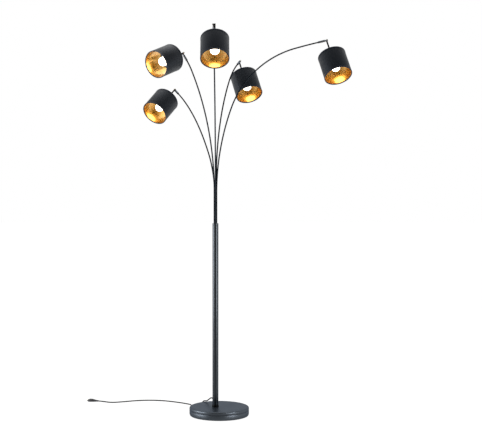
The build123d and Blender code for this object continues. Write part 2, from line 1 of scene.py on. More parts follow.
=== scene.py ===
# %% [markdown]
# # A tree floor lamp
# Five bent arms fan out of one steel pole, and each carries a dark cloth shade with a gold lining.
# The CAD model gives every size and place. This script loads it as a fixed frame and gives each
# piece its surface: satin lacquer, turned metal, woven cloth, foil, opal glass and cord.

import json
import math

import bpy
import numpy as np
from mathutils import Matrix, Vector


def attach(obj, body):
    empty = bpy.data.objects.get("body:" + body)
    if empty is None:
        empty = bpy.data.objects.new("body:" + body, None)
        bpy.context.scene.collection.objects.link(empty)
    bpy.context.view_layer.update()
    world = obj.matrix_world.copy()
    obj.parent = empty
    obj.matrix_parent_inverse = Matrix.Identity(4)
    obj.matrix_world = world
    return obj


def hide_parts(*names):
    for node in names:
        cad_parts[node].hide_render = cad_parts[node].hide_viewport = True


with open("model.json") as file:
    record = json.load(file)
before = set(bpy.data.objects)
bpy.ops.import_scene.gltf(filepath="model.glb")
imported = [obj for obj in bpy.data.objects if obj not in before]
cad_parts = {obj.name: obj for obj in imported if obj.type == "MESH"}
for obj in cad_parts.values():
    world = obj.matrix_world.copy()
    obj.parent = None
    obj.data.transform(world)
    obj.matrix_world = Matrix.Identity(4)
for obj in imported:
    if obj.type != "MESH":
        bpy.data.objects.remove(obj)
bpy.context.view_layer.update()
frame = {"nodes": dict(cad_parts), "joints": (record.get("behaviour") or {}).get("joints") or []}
nodes = frame["nodes"]
joints = {joint["name"]: joint for joint in frame["joints"]}

# %% [markdown]
# ## The camera
# A product photographer stands well back with a long lens, so that a tall lamp keeps its upright
# lines. The camera here stands 5 m in front of the pole at half the lamp's height and looks
# straight ahead. The sensor is shifted a little, as on a view camera, which puts the lamp where the
# photograph has it without tilting the verticals.

# %% Camera
camera_distance = 5.0
camera_height = 1.049
focal_pixels = 992
frame_width, frame_height = 482, 434
principal_x, principal_y = 215.45, 207.0

camera_data = bpy.data.cameras.new("camera")
camera = bpy.data.objects.new("camera", camera_data)
bpy.context.scene.collection.objects.link(camera)
bpy.context.scene.camera = camera
camera_data.sensor_width = 36
camera_data.lens = 36 * focal_pixels / frame_width
camera_data.shift_x = (frame_width / 2 - principal_x) / frame_width
camera_data.shift_y = -(frame_height / 2 - principal_y) / frame_width
camera.location = (0, -camera_distance, camera_height)
camera.rotation_euler = (math.radians(90), 0, 0)
print("lens", round(camera_data.lens, 2), "mm")

# %% [markdown]
# ## The cord
# A mains cord is a heavy, springy tube that keeps a smooth line: it leaves the pole through a
# tapered strain relief, drops over the back edge of the base and lies on the floor. A NURBS curve
# of order 3 bends like that, because it never kinks at a control point. The first curve runs from
# the pole into a coil behind the base and on to the foot switch, the second from the switch to
# the plug.

# %% Cord routes, in metres
MM = 0.001
cord_diameter = 6 * MM
lying = 3.1 * MM
coil_x, coil_y = 0.068, 0.215
coil_radius = 42.2 * MM
coil_step = 3.35 * MM
layer_height = 6.6 * MM
layer_steps = 4

to_coil = [
    (-0.014457, 0.034059, 0.079),
    (-0.019927, 0.046946, 0.079),
    (-0.0255, 0.060, 0.0745),
    (-0.032, 0.0755, 0.066),
    (-0.039, 0.092, 0.0575),
    (-0.0465, 0.110, 0.0507),
    (-0.054, 0.129, 0.0477),
    (-0.0605, 0.1455, 0.0435),
    (-0.0665, 0.161, 0.035),
    (-0.073, 0.176, 0.0235),
    (-0.0805, 0.1905, 0.012),
    (-0.088, 0.206, 0.005),
    (-0.091, 0.223, lying),
    (-0.0875, 0.2395, lying),
    (-0.078, 0.2535, lying),
    (-0.064, 0.263, lying),
    (-0.047, 0.2665, lying),
    (-0.028, 0.266, lying),
    (-0.009, 0.2625, lying),
    (0.011, 0.259, lying + 0.0002),
    (0.031, 0.2575, 0.007),
    (0.049, 0.2572, lying + layer_height),
]
to_switch = [
    (0.050, 0.1728, lying),
    (0.038, 0.174, 0.0062),
    (0.026, 0.174, 0.0062),
]
to_plug = [
    (-0.076, 0.174, 0.0062),
    (-0.090, 0.174, 0.0062),
    (-0.104, 0.177, 0.0039),
    (-0.116, 0.1845, lying),
    (-0.1235, 0.196, lying),
    (-0.126, 0.210, lying),
    (-0.126, 0.228, lying),
    (-0.129, 0.247, lying),
    (-0.144, 0.268, lying),
    (-0.190, 0.305, lying),
    (-0.236, 0.335, lying),
    (-0.290, 0.361, lying),
    (-0.354, 0.372, lying),
    (-0.425, 0.361, lying),
    (-0.490, 0.330, lying),
    (-0.540, 0.310, lying),
    (-0.568, 0.3095, lying + 0.0005),
    (-0.600, 0.317, 0.0069),
    (-0.630, 0.331, 0.0069),
]


def coil_turns():
    """Control points round the coil, sixteen to a turn.

    Each half turn is half a circle of radius R about a centre on the line x = coil_x. R shrinks by
    one step for each half turn on top, and grows again underneath, and the height falls along a
    cosine in the half turn between. A control point of a curve of order 3 lies outside its circle
    by the factor 1 / cos(half the angle between points).
    """
    points = []
    top = coil_y + coil_radius
    per_half = 8
    outside = 1 / math.cos(math.pi / per_half / 2)
    angles = (np.arange(per_half) + 0.5) * math.pi / per_half
    for half in range(2 * layer_steps + 1):
        radius = coil_radius - coil_step * min(half, 2 * layer_steps - half)
        side = 1 if half % 2 == 0 else -1
        centre = top - side * radius
        drop = 0 if half < layer_steps else 1
        height = lying + layer_height * (1 - drop) * np.ones(per_half)
        if half == layer_steps:
            height = lying + layer_height * (0.5 + 0.5 * np.cos(angles))
        xs = coil_x + side * radius * outside * np.sin(angles)
        ys = centre + side * radius * outside * np.cos(angles)
        points += list(zip(xs, ys, height))
        top = centre - side * radius
    return points


def cord_curve(name, points):
    """One open NURBS curve of order 3 with a round bevel."""
    data = bpy.data.curves.new(name, "CURVE")
    data.dimensions = "3D"
    data.resolution_u = 8
    data.bevel_depth = cord_diameter / 2
    data.bevel_resolution = 5
    data.use_fill_caps = True
    spline = data.splines.new("NURBS")
    spline.points.add(len(points) - 1)
    for spline_point, point in zip(spline.points, points):
        spline_point.co = (*point, 1)
    spline.order_u = 3
    spline.use_endpoint_u = True
    cord = bpy.data.objects.new(name, data)
    bpy.context.scene.collection.objects.link(cord)
    return cord


cord_to_switch = cord_curve("cord_to_switch", to_coil + coil_turns() + to_switch)
cord_to_plug = cord_curve("cord_to_plug", to_plug)
print("cord points", len(to_coil + coil_turns() + to_switch), "and", len(to_plug))

# %% [markdown]
# ## Shapes from two parameters
# Almost everything on this lamp was turned, spun, rolled or drawn: its section stays round along a
# line. So one function makes nearly all of it. It carries an outline of (distance along the line,
# radius) round a centre line, which may be straight, as for the pole, or bent, as for an arm. Sharp
# corners of the outline are first rounded, because real edges catch the light.


# %% Outlines
def rounded(outline, radius, steps=3):
    """Rounds each corner of an outline with a small parabola.

    A corner P with neighbours A and B becomes P + (1 - t)^2 a + t^2 b, where a and b reach from P
    towards A and B by the radius, or by 0.45 of that side where it is shorter, and t runs from 0 to
    1. An outline that starts on the axis, at radius 0, keeps its two ends.
    """
    corner = np.array(outline, float)
    before = np.roll(corner, 1, axis=0) - corner
    after = np.roll(corner, -1, axis=0) - corner
    length_before = np.linalg.norm(before, axis=1, keepdims=True)
    length_after = np.linalg.norm(after, axis=1, keepdims=True)
    reach = np.minimum(radius, 0.45 * np.minimum(length_before, length_after))
    t = np.linspace(0, 1, steps + 1)[None, :, None]
    a = (before / np.maximum(length_before, 1e-9) * reach)[:, None]
    b = (after / np.maximum(length_after, 1e-9) * reach)[:, None]
    curve = corner[:, None] + (1 - t) ** 2 * a + t**2 * b
    if corner[0, 1] > 0:
        return curve.reshape(-1, 2)
    return np.vstack([corner[:1], curve[1:-1].reshape(-1, 2), corner[-1:]])


def circle_outline(along, radius, wire):
    """A round section of this wire radius, with its middle at (along, radius)."""
    turn = np.linspace(0, 2 * math.pi, 12, endpoint=False)
    return np.stack([along - wire * np.cos(turn), radius + wire * np.sin(turn)], -1)


# %% Surfaces
def closed_grid(points, wrap):
    """Joins rows and columns of points into one closed skin: points, faces and UV map.

    Columns close on themselves. Rows do too when wrap is true; otherwise the first and the last row
    are poles, each one point with triangles round it. The UV map holds metres: u runs round and v
    along. The sum of p0 . (p1 x p2) over the faces is six times the volume, and where it is
    negative the faces are turned round, so that they point outwards.
    """
    rows, columns = points.shape[:2]
    index = np.arange(rows * columns).reshape(rows, columns)
    if not wrap:
        index[0], index[-1] = index[0, 0], index[-1, 0]
    above = np.roll(index, -1, axis=0)
    quads = np.stack([index, np.roll(index, -1, 1), np.roll(above, -1, 1), above], -1)
    step = np.linalg.norm(np.roll(points, -1, 0) - points, axis=2).max(axis=1)
    girth = np.linalg.norm(np.roll(points, -1, 1) - points, axis=2).sum(axis=1).max()
    along = np.concatenate([[0], np.cumsum(step)])
    around = np.linspace(0, girth, columns + 1)
    row, column = np.indices((rows, columns))
    corners = [(column, row), (column + 1, row), (column + 1, row + 1), (column, row + 1)]
    uv = np.stack([np.stack([around[c], along[r]], -1) for c, r in corners], axis=2)
    if wrap:
        bands = [(quads.reshape(-1, 4), uv.reshape(-1, 4, 2))]
    else:
        bands = [
            (quads[0][:, [0, 2, 3]], uv[0][:, [0, 2, 3]]),
            (quads[1:-2].reshape(-1, 4), uv[1:-2].reshape(-1, 4, 2)),
            (quads[-2][:, [0, 1, 2]], uv[-2][:, [0, 1, 2]]),
        ]
    flat = points.reshape(-1, 3)
    a, b, c, d = (flat[quads.reshape(-1, 4)[:, k]] for k in range(4))
    volume = np.sum(a * np.cross(b, c)) + np.sum(a * np.cross(c, d))
    if volume < 0:
        bands = [(faces[:, ::-1], corner_uv[:, ::-1]) for faces, corner_uv in bands]
    used = np.unique(index)
    place = np.zeros(len(flat), int)
    place[used] = np.arange(len(used))
    faces = [face for band, _ in bands for face in place[band].tolist()]
    return flat[used], faces, np.concatenate([corner_uv.reshape(-1, 2) for _, corner_uv in bands])


def straight(start, along, side=None):
    """A straight centre line: at a distance s it is at start + s along."""
    along = Vector(along).normalized()
    side = Vector(side).normalized() if side is not None else along.orthogonal().normalized()
    start, along, side = (np.array(v) for v in (start, along, side))
    other = np.cross(along, side)

    def place(s):
        one = np.ones(len(s))[:, None]
        return start + s[:, None] * along, one * side, one * other

    return place


def carried(place, outline, columns=64, section=None):
    """Carries an outline, in millimetres, round a centre line.

    The point for an outline corner (s, r) and an angle v is
    C(s) + r f(v) (cos v N(s) + sin v B(s)), where C is the centre line, N and B are square to it
    and to each other, and f, the section, is 1 for a round piece.
    """
    s, r = np.array(outline, float).T * MM
    centre, normal, other = place(s)
    v = np.arange(columns) * 2 * math.pi / columns
    spread = np.cos(v)[:, None] * normal[:, None] + np.sin(v)[:, None] * other[:, None]
    if section:
        spread = spread * section(v)[None, :, None]
    return closed_grid(centre[:, None] + r[:, None, None] * spread, wrap=r[0] > 0)


def moulded(place, rows, columns=64):
    """A moulded body of rounded rectangles along a line, closed at both ends.

    Each row (s, a, b, n) is the curve |x / a|^n + |y / b|^n = 1 at the distance s: x is
    a sign(cos v) |cos v|^(2/n), and y has b and the sine. n is 2 for an oval and 4 or more for a
    rectangle with round corners. The first and the last row have a and b of 0.
    """
    s, a, b, power = np.array(rows, float).T
    centre, normal, other = place(s * MM)
    v = (np.arange(columns) + 0.5) * 2 * math.pi / columns
    curl = 2 / power[:, None]
    x = a[:, None] * MM * np.sign(np.cos(v)) * np.abs(np.cos(v)) ** curl
    y = b[:, None] * MM * np.sign(np.sin(v)) * np.abs(np.sin(v)) ** curl
    points = centre[:, None] + x[..., None] * normal[:, None] + y[..., None] * other[:, None]
    return closed_grid(points, wrap=False)


def made(name, *skins):
    """One smooth-shaded mesh object at the origin from one or more skins."""
    points, faces, maps = [], [], []
    for skin_points, skin_faces, skin_map in skins:
        offset = sum(len(group) for group in points)
        points.append(skin_points)
        faces += [[offset + corner for corner in face] for face in skin_faces]
        maps.append(skin_map)
    mesh = bpy.data.meshes.new(name)
    mesh.from_pydata(np.concatenate(points).tolist(), [], faces)
    mesh.polygons.foreach_set("use_smooth", np.ones(len(mesh.polygons), bool))
    layer = mesh.uv_layers.new(name="surface")
    layer.data.foreach_set("uv", np.concatenate(maps).reshape(-1))
    mesh.update()
    piece = bpy.data.objects.new(name, mesh)
    bpy.context.scene.collection.objects.link(piece)
    return piece


print("surface functions ready")

# %% [markdown]
# ## Colours and nodes
# Colours are written as hex values in the screen's sRGB scale, the way a paint chip or a picture
# gives them, and turned to the linear values that light is added up in. Every material is made by
# one function, which gives it a fine grain and slow clouds, so no surface is quite even.


# %% Colour and node helpers
def linear(hex_colour):
    """sRGB to linear: c / 12.92 below 0.04045, and ((c + 0.055) / 1.055) ^ 2.4 above."""
    channels = [int(hex_colour[i : i + 2], 16) / 255 for i in (1, 3, 5)]
    values = [c / 12.92 if c <= 0.04045 else ((c + 0.055) / 1.055) ** 2.4 for c in channels]
    return (*values, 1)


def add_node(material, kind, inputs=None, feeds=None, **settings):
    """Adds a node, sets it up, fills its inputs with values or links, and links its outputs on."""
    tree = material.node_tree
    node = tree.nodes.new(kind)
    for key, value in settings.items():
        setattr(node, key, value)
    for key, value in (inputs or {}).items():
        if isinstance(value, bpy.types.NodeSocket):
            tree.links.new(value, node.inputs[key])
        else:
            node.inputs[key].default_value = value
    for key, socket in (feeds or {}).items():
        tree.links.new(node.outputs[key], socket)
    return node


map_range = ("From Min", "From Max", "To Min", "To Max")


def finish(name, dark, light, roughness, grain_mm, depth_mm, cloud_mm,
           stretch=(1, 1, 1), coordinate="Object", **sockets):
    """A whole finish: a fine grain gives its relief and its gloss, slow clouds give its colour.

    Both are noises with sizes in millimetres, drawn out along an axis where stretch is under 1. A
    noise lies mostly between 0.3 and 0.7, and that span is spread over the two roughnesses and the
    two colours. What is the same all over the surface is set on the shader's own socket.
    """
    material = bpy.data.materials.new(name)
    material.use_nodes = True
    shader = material.node_tree.nodes["Principled BSDF"]
    for key, value in sockets.items():
        shader.inputs[key.replace("_", " ")].default_value = value
    where = add_node(material, "ShaderNodeTexCoord")
    drawn = add_node(
        material, "ShaderNodeMapping", {"Vector": where.outputs[coordinate], "Scale": stretch}
    )
    grain, clouds = (
        add_node(
            material,
            "ShaderNodeTexNoise",
            {"Vector": drawn.outputs["Vector"], "Scale": 1 / (size * MM), "Detail": detail},
        ).outputs["Fac"]
        for size, detail in ((grain_mm, 3), (cloud_mm, 2))
    )
    noise_low, noise_high = 0.3, 0.7
    add_node(
        material,
        "ShaderNodeMapRange",
        {"Value": grain, **dict(zip(map_range, (noise_low, noise_high, *roughness)))},
        {"Result": shader.inputs["Roughness"]},
    )
    add_node(
        material,
        "ShaderNodeBump",
        {"Height": grain, "Strength": 1.0, "Distance": depth_mm * MM},
        {"Normal": shader.inputs["Normal"]},
    )
    blend = add_node(
        material, "ShaderNodeValToRGB", {"Fac": clouds}, {"Color": shader.inputs["Base Color"]}
    )
    stops = blend.color_ramp.elements
    for stop, position, colour in zip(stops, (noise_low, noise_high), (dark, light)):
        stop.position, stop.color = position, linear(colour)
    return material


def paint(piece, material):
    piece.data.materials.clear()
    piece.data.materials.append(material)


def dress(piece, body, material, replaced=()):
    """Paints a piece, lets it ride on its body, and hides the CAD nodes it replaces."""
    paint(piece, material)
    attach(piece, body)
    if replaced:
        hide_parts(*([replaced] if isinstance(replaced, str) else replaced))
    return piece


# %% [markdown]
# ## Lacquered steel
# The base, the pole and the arms are steel with a baked graphite lacquer: metal flakes packed close
# in a dark resin. It could be a dark paint with a clear coat, but then its shine would be white at
# a glancing angle. The real one mirrors the room in its own grey and grows darker towards its
# edges, so it is a metal here, whose edge tint is dark. Sprayed lacquer has a faint orange peel
# with waves of two or three millimetres, and the drawn tubes keep faint marks along their length.

# %% Lacquers
base_lacquer = finish(
    "graphite_lacquer_on_pressed_steel",
    "#555B62",
    "#5C6269",
    roughness=(0.36, 0.4),
    grain_mm=2.5,
    depth_mm=0.0015,
    cloud_mm=60,
    Metallic=1,
    Specular_Tint=linear("#B4B8BE"),
)
pole_lacquer = finish(
    "graphite_lacquer_on_drawn_tube",
    "#474B4F",
    "#4D5155",
    roughness=(0.26, 0.34),
    grain_mm=3,
    depth_mm=0.0015,
    cloud_mm=80,
    stretch=(1, 1, 0.05),
    Metallic=1,
    Specular_Tint=linear("#6E7073"),
)
arm_lacquer = finish(
    "slate_lacquer_on_bent_tube",
    "#1F2428",
    "#25292E",
    roughness=(0.36, 0.44),
    grain_mm=1.5,
    depth_mm=0.002,
    cloud_mm=50,
    Metallic=1,
    Specular_Tint=linear("#3C4044"),
)
stem_black = finish(
    "satin_black_stove_enamel",
    "#060607",
    "#0A0A0B",
    roughness=(0.34, 0.42),
    grain_mm=1,
    depth_mm=0.002,
    cloud_mm=20,
    IOR=1.2,
)
print("lacquers", base_lacquer.name, pole_lacquer.name, arm_lacquer.name, stem_black.name)

# %% [markdown]
# ## Bare and plated metal
# The swivel sleeves were turned on a lathe and given a grey satin finish. The tool leaves rings a
# fraction of a millimetre apart round the piece. They are a sine wave along v of the UV map, drawn
# 0.8 mm apart so that they can be seen close up. Blender's wave has a period of pi / 10 at scale 1.
# The pivot screws are nickel plated, which is brighter and a little yellow. The grub screws are
# blackened, the shades' wires are gold coated, and the weight inside the base is cast iron, rough
# from its sand mould under its paint.

# %% Metals
wave_unit = math.pi / 10
sleeve_steel = finish(
    "satin_turned_steel",
    "#666C73",
    "#727880",
    roughness=(0.28, 0.36),
    grain_mm=2,
    depth_mm=0.02,
    cloud_mm=6,
    Metallic=1,
    Specular_Tint=linear("#808488"),
)
ring_mm = 0.8
where = add_node(sleeve_steel, "ShaderNodeTexCoord")
add_node(
    sleeve_steel,
    "ShaderNodeTexWave",
    {"Vector": where.outputs["UV"], "Scale": wave_unit / (ring_mm * MM), "Distortion": 0.3},
    {"Fac": sleeve_steel.node_tree.nodes["Bump"].inputs["Height"]},
    bands_direction="Y",
)
plain_metals = [
    finish(name, dark, light, gloss, grain_mm, depth_mm, cloud_mm, Metallic=metallic)
    for name, dark, light, gloss, grain_mm, depth_mm, cloud_mm, metallic in (
        ("bright_nickel_plate", "#CBC7BC", "#D3CFC4", (0.12, 0.2), 0.5, 0.001, 5, 1),
        ("zinc_plated_steel", "#9A9EA1", "#B4B7B9", (0.32, 0.45), 3, 0.004, 3, 1),
        ("blackened_steel_screw", "#3E4043", "#46484C", (0.38, 0.46), 0.6, 0.004, 3, 1),
        ("nickel_plated_cap", "#C4C2BC", "#CCCAC4", (0.24, 0.36), 1, 0.002, 8, 1),
        ("gold_coated_wire", "#C9962F", "#DDAA45", (0.3, 0.4), 2, 0.01, 12, 0.8),
        ("dip_painted_cast_iron", "#1D1D1D", "#292929", (0.66, 0.74), 1.5, 0.12, 8, 0),
    )
]
nickel, zinc, blackened, cap_metal, gold_wire, iron = plain_metals
print("metals", sleeve_steel.name, [metal.name for metal in plain_metals])

# %% [markdown]
# ## Plastics and rubber
# The cord's PVC sheath is smooth with a soft shine. Plug, switch and strain relief are moulded in a
# spark-eroded tool, which leaves a grain of about half a millimetre, and the lampholders are glossy
# black phenolic, whose resin flows in faint swirls. Each is one line here: name, two shades of its
# colour, roughness, and the size and depth of its grain in millimetres.

# %% Plastics
mouldings = {}
gloss_spread, grains_per_cloud = 0.04, 12
for name, dark, light, middle, grain_mm, depth_mm, ior in (
    ("black_pvc_cord_sheath", "#0C0C0D", "#131314", 0.55, 1.2, 0.01, 1.2),
    ("grained_dark_moulding", "#262628", "#2E2E30", 0.5, 0.5, 0.02, 1.45),
    ("grained_grey_button", "#464648", "#4F4F51", 0.45, 0.5, 0.02, 1.45),
    ("black_phenolic_moulding", "#111112", "#1A1A1B", 0.28, 4, 0.01, 1.45),
    ("black_cellular_rubber", "#161616", "#202020", 0.9, 0.8, 0.1, 1.45),
    ("white_nylon_moulding", "#DEDCD4", "#E8E6DE", 0.5, 0.8, 0.01, 1.45),
    ("white_bulb_skirt", "#E6E5E1", "#F0EFEB", 0.4, 1.0, 0.01, 1.45),
    ("black_hook_and_loop_tape", "#121213", "#1D1D1F", 0.85, 0.7, 0.15, 1.45),
):
    gloss = (middle - gloss_spread, middle + gloss_spread)
    cloud_mm = grains_per_cloud * grain_mm
    mouldings[name] = finish(name, dark, light, gloss, grain_mm, depth_mm, cloud_mm, IOR=ior)
cord_sheath, moulded_grey, button_grey, phenolic, *others = mouldings.values()
pad_rubber, connector_white, skirt_white, strap_weave = others
print("mouldings", list(mouldings))

# %% [markdown]
# ## The shades' cloth and foil
# Outside is a dark chintz: a close plain weave pressed almost flat. It is drawn as the product of
# two sine waves across each other on the UV map. Its threads are 0.3 mm apart, and drawn here at
# 0.8 mm so that they can be seen. Thicker places in the yarn, the slubs, run round the shade as
# faint streaks, so the noise is drawn out along u. The lining is a gold foil on the card that
# stiffens the shade. It mirrors the lit bulb softly, and lacquer over the foil gives it a second,
# sharper shine. The card has slight waves about 30 mm long, which are too gentle to show here.

# %% Cloth and foil
woven = dict(
    roughness=(0.46, 0.56),
    grain_mm=1.6,
    depth_mm=0.06,
    cloud_mm=1.6,
    stretch=(0.06, 1, 1),
    coordinate="UV",
    Specular_Tint=linear("#BFCDE2"),
)
shade_cloth = finish("dark_chintz_weave", "#07080A", "#0C0E11", **woven)
soft_edge = dict(Sheen_Weight=0.02, Sheen_Tint=linear("#A9B8CC"))
hem_tape = finish("navy_cotton_tape", "#070A14", "#0B0F1B", **woven, **soft_edge)
for cloth, thread_mm in ((shade_cloth, 0.8), (hem_tape, 0.9)):
    where = add_node(cloth, "ShaderNodeTexCoord")
    threads = [
        add_node(
            cloth,
            "ShaderNodeTexWave",
            {
                "Vector": where.outputs["UV"],
                "Scale": wave_unit / (thread_mm * MM),
                "Distortion": 0.4,
            },
            bands_direction=direction,
        ).outputs["Fac"]
        for direction in ("X", "Y")
    ]
    add_node(
        cloth,
        "ShaderNodeMath",
        {0: threads[0], 1: threads[1]},
        {"Value": cloth.node_tree.nodes["Bump"].inputs["Height"]},
        operation="MULTIPLY",
    )
gold_foil = finish(
    "gold_foil_lining",
    "#EFB246",
    "#F2B64A",
    roughness=(0.24, 0.26),
    grain_mm=30,
    depth_mm=0.02,
    cloud_mm=40,
    coordinate="UV",
    Metallic=0.85,
    Coat_Weight=1,
    Coat_Roughness=0.15,
)
print("shade materials", shade_cloth.name, hem_tape.name, gold_foil.name)

# %% [markdown]
# ## The bulbs
# Each lampholder takes a small opal globe. The lamp is lit in the photograph, so the globe sends
# out light of its own and shows as pure white, and the gold lining is bright because it mirrors the
# globe. The light is part of the glass, so it goes wherever the shade is turned.

# %% Opal glass
opal = finish(
    "lit_opal_glass",
    "#FAFAF8",
    "#FFFFFF",
    roughness=(0.24, 0.32),
    grain_mm=6,
    depth_mm=0.002,
    cloud_mm=20,
    Emission_Color=linear("#FFF6E4"),
    Emission_Strength=5,
)
print("bulb glass", opal.name)

# %% [markdown]
# ## The base cover
# The cover is pressed from one sheet of steel: a flat top, a rolled shoulder, a groove that
# stiffens the wall, and a belly that draws in towards the floor. It stands 19 mm off the pole's
# line, towards the longest arm. Its outline is carried round its own line, and its top runs
# unbroken under the collar, where it can't be seen.

# %% Base cover
base_offset, base_radius, base_height = 19, 150, 44
shoulder_radius, belly_height, belly_draw, foot_gap = 7, 14, 5, 1.5
groove_height, groove_depth, groove_half_width = 28, 1.6, 1.9

quarter = np.linspace(0, math.pi / 2, 9)
belly = [
    (
        belly_height - (belly_height - foot_gap) * math.cos(a),
        base_radius - belly_draw * (1 - math.sin(a)),
    )
    for a in quarter
]
dip = np.linspace(-groove_half_width, groove_half_width, 13)
groove = [
    (
        groove_height + d,
        base_radius - groove_depth * (0.5 + 0.5 * math.cos(math.pi * d / groove_half_width)),
    )
    for d in dip
]
wall_top, flat_radius = base_height - shoulder_radius, base_radius - shoulder_radius
shoulder = [
    (wall_top + shoulder_radius * math.sin(a), flat_radius + shoulder_radius * math.cos(a))
    for a in quarter
]
inside = [(42.5, 0), (42.5, 142.5), (37, 146.9), (belly_height, 146.9), (foot_gap, 143.5)]
flat_top = [(base_height, radius) for radius in (120, 80, 40, 0)]
outline = inside + belly + groove + shoulder + flat_top
base_line = straight((base_offset * MM, 0, 0), (0, 0, 1), side=(1, 0, 0))
cover = made("cover", carried(base_line, outline, columns=192))
dress(cover, "stand", base_lacquer, "base_cover")
print("cover rows", len(outline))

# %% [markdown]
# ## Pole, collar and set screws
# The pole is a drawn tube with its ends cut square and lightly deburred, and a shallow ring turned
# 7 mm below its top. It stands on a collar that is part of the threaded foot inside it. Three set
# screws near its top hold the arms' holder: small grub screws, flush with the tube, whose sockets
# are drawn as plain round recesses.

# %% Pole, collar and set screws
pole_line = straight((0, 0, 0), (0, 0, 1), side=(1, 0, 0))
pole_start, pole_top, pole_radius, pole_bore = 54, 964, 15, 13.8
bead = [(955.8, pole_radius), (956.3, 14.6), (957.7, 14.6), (958.2, pole_radius)]
pole_outline = [(pole_start, pole_bore), (pole_start, pole_radius)] + bead
pole_outline = rounded(pole_outline + [(pole_top, pole_radius), (pole_top, pole_bore)], 0.3)
pole = made("pole_tube", carried(pole_line, pole_outline))
dress(pole, "stand", pole_lacquer, "pole")
collar_outline = [(44, 5.1), (44, 16.5), (54, 16.5), (54, 13.65), (72, 13.65), (72, 5.1)]
collar = made("foot_collar", carried(pole_line, rounded(collar_outline, 0.8)))
dress(collar, "stand", stem_black, "pole_foot")
grub_height, grub_azimuths = 952, (18, 138, 258)
for count, angle in enumerate(grub_azimuths):
    outwards = (math.cos(math.radians(angle)), math.sin(math.radians(angle)), 0)
    screw_line = straight((0, 0, grub_height * MM), outwards)
    socket_head = [(11.4, 0), (11.4, 2), (15.02, 2), (15.02, 1.15), (13.8, 1.1), (13.8, 0)]
    grub = made(f"grub_{count}", carried(screw_line, rounded(socket_head, 0.15), 24))
    dress(grub, "stand", blackened, "grub_screws" if count == 0 else ())
print("pole, collar, 3 set screws")

# %% [markdown]
# ## The strain relief on the pole
# Where the cord leaves the pole it is held by a moulded sleeve that tapers and has slots round it,
# so that it bends a little at each and the cord never kinks. Its hole looks back and a little to
# the left.

# %% Strain relief
exit_height, exit_azimuth = 79, math.radians(113)
exit_way = (math.cos(exit_azimuth), math.sin(exit_azimuth), 0)
exit_line = straight((0, 0, exit_height * MM), exit_way, side=(0, 0, 1))


def relief_outline(start, length, root, tip, slots):
    """A tapered sleeve with slots half a millimetre deep: each is four corners on the cone."""
    outline = [(start, 0), (start, root)]
    for slot in range(slots):
        middle = start + length * (slot + 0.8) / (slots + 0.6)
        radius = root + (tip - root) * (middle - start) / length
        for aside, deep in ((-1.1, 0), (-0.8, 0.55), (0.8, 0.55), (1.1, 0)):
            outline.append((middle + aside, radius - deep))
    return outline + [(start + length, tip), (start + length, 0)]


flange = rounded([(12.5, 0), (12.5, 7), (17.6, 7), (17.6, 0)], 0.6)
tapered = rounded(relief_outline(16, 21, 6, 4.5, 4), 0.25)
grommet = made(
    "pole_strain_relief", carried(exit_line, flange, 40), carried(exit_line, tapered, 40)
)
dress(grommet, "stand", moulded_grey, "cable_grommet")
print("strain relief", len(tapered), "rows")

# %% [markdown]
# ## Foot switch
# The switch on the cord is a moulded box with a round button, pressed with the foot. The box is a
# stack of rounded rectangles that shrink over the top edge and become circles round the button's
# well. A tapered sleeve guards the cord at each end.

# %% Foot switch
switch_x, switch_y = -25, 174
switch_line = straight((switch_x * MM, switch_y * MM, 0), (0, 0, 1), side=(1, 0, 0))
box_edge = 5
edge = []
for a in quarter:
    drawn_in = box_edge * (1 - math.cos(a))
    edge.append((15 + box_edge * math.sin(a), 31 - drawn_in, 18 - drawn_in, 6))
box_rows = (
    [(0, 0, 0, 6), (0, 30.2, 17.2, 6), (0.8, 31, 18, 6), (8, 31, 18, 6)]
    + edge
    + [(20, 14, 12.9, 3), (19.8, 12.5, 12.5, 2), (13, 12.4, 12.4, 2), (13, 0, 0, 2)]
)
box_skins = [moulded(switch_line, box_rows, 96)]
for way in (1, -1):
    guard_line = straight(((switch_x + way * 30) * MM, switch_y * MM, 6.2 * MM), (way, 0, 0))
    box_skins.append(carried(guard_line, rounded(relief_outline(0, 21, 6, 4, 4), 0.25), 40))
switch_box = made("foot_switch_box", *box_skins)
dress(switch_box, "stand", moulded_grey, "switch_housing")
dished = [(16.3, 0), (16.3, 12), (22, 12), (24, 10.6), (23.7, 8), (23.2, 4), (23.1, 0)]
button = made("foot_switch_button", carried(switch_line, rounded(dished, 1), 64))
dress(button, "switch_button", button_grey, "switch_button")
print("foot switch", len(box_skins), "skins")

# %% [markdown]
# ## Plug
# The plug is a two-pin moulding of soft plastic over a hard core: a slotted sleeve on the cord, a
# body that widens to the pins, and finger grooves across it. Its pins are plated brass with an
# insulating sleeve over the half next to the body.

# %% Plug
end, before_end = np.array(to_plug[-1]), np.array(to_plug[-2])
plug_way = (end - before_end) / np.linalg.norm(end - before_end)
plug_side = np.cross(plug_way, (0, 0, 1.0))
plug_line = straight(end, plug_way, plug_side)
plug_rows = [(21, 0, 0, 2), (21, 6.6, 5.8, 2), (24, 8.5, 6.3, 2.5), (30, 11.2, 6.5, 3)]
plug_rows += [
    (36 + k, 14 + 0.9 * k - (0.7 if k % 2 else 0), 6.7 - (0.5 if k % 2 else 0), 3.5)
    for k in range(4)
]
plug_rows += [(42, 17, 6.8, 4), (54.5, 17, 6.8, 4), (55.7, 16.2, 6.2, 4)]
plug_rows += [(56, 15, 5.4, 4), (56, 0, 0, 4)]
plug_body = made(
    "plug_body",
    moulded(plug_line, plug_rows, 72),
    carried(plug_line, rounded(relief_outline(0, 22, 3.9, 6.1, 4), 0.25), 40),
)
dress(plug_body, "stand", moulded_grey, "plug")
plug_pieces = [plug_body]
pin_offset, sleeve_end, tip = 9.3, 65, 75
